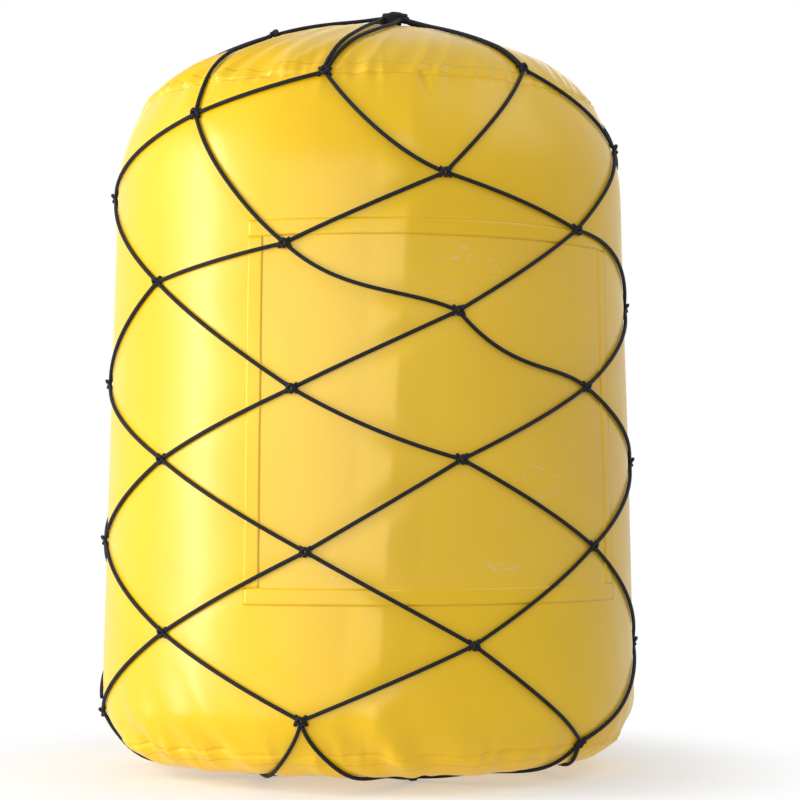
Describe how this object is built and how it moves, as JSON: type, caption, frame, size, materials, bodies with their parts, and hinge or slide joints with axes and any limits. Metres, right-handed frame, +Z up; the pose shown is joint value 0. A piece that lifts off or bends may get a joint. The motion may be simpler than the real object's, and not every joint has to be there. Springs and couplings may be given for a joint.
{
  "type": "inflatable regatta buoy",
  "caption": "Inflatable racing mark: yellow coated-fabric drum with domed top, clear front pocket, knotted cord net gathered at crown and base, capped inflation valve and mooring eye.",
  "frame": {"origin": "centre of the base, on the floor that the net's lower legs rest on", "axes": "+Z up along the drum's axis, -Y towards the clear pocket"},
  "size_m": [0.8696, 0.8686, 1.2016],
  "materials": {
    "yellow_fabric": "glossy coated fabric, welded seams",
    "clear_film": "clear soft film",
    "net_cord": "braided cord",
    "valve_plastic": "moulded",
    "thimble_plastic": "moulded"
  },
  "bodies": {
    "buoy": {"bottom_lashing": "net_cord", "bottom_panel": "yellow_fabric", "bottom_weld_band": "yellow_fabric", "mooring_becket": "net_cord", "mooring_thimble": "thimble_plastic", "net_bottom_legs": "net_cord", "net_knots_0": "net_cord", "net_knots_1": "net_cord", "net_knots_2": "net_cord", "net_knots_3": "net_cord", "net_knots_4": "net_cord", "net_knots_5": "net_cord", "net_knots_6": "net_cord", "net_knots_7": "net_cord", "net_knots_8": "net_cord", "net_knots_9": "net_cord", "net_strands_0": "net_cord", "net_strands_1": "net_cord", "net_strands_2": "net_cord", "net_strands_3": "net_cord", "net_strands_4": "net_cord", "net_strands_5": "net_cord", "net_strands_6": "net_cord", "net_strands_7": "net_cord", "net_strands_8": "net_cord", "net_top_legs": "net_cord", "pocket_frame_bottom": "yellow_fabric", "pocket_frame_left": "yellow_fabric", "pocket_frame_right": "yellow_fabric", "pocket_frame_top": "yellow_fabric", "pocket_window": "clear_film", "top_lashing": "net_cord", "top_panel": "yellow_fabric", "top_weld_band": "yellow_fabric", "valve_body": "valve_plastic", "valve_flange": "valve_plastic", "wall_panel": "yellow_fabric", "wall_seam_strip": "yellow_fabric"},
    "valve_cap": {"valve_cap": "valve_plastic"}
  },
  "joints": [
    {"name": "valve_cap_hinge", "type": "hinge", "parent": "buoy", "child": "valve_cap", "pos_m": [0.1174, 0.13991, 1.17584], "axis": [-0.766, 0.6428, 0], "range_deg": [0, 150]}
  ]
}
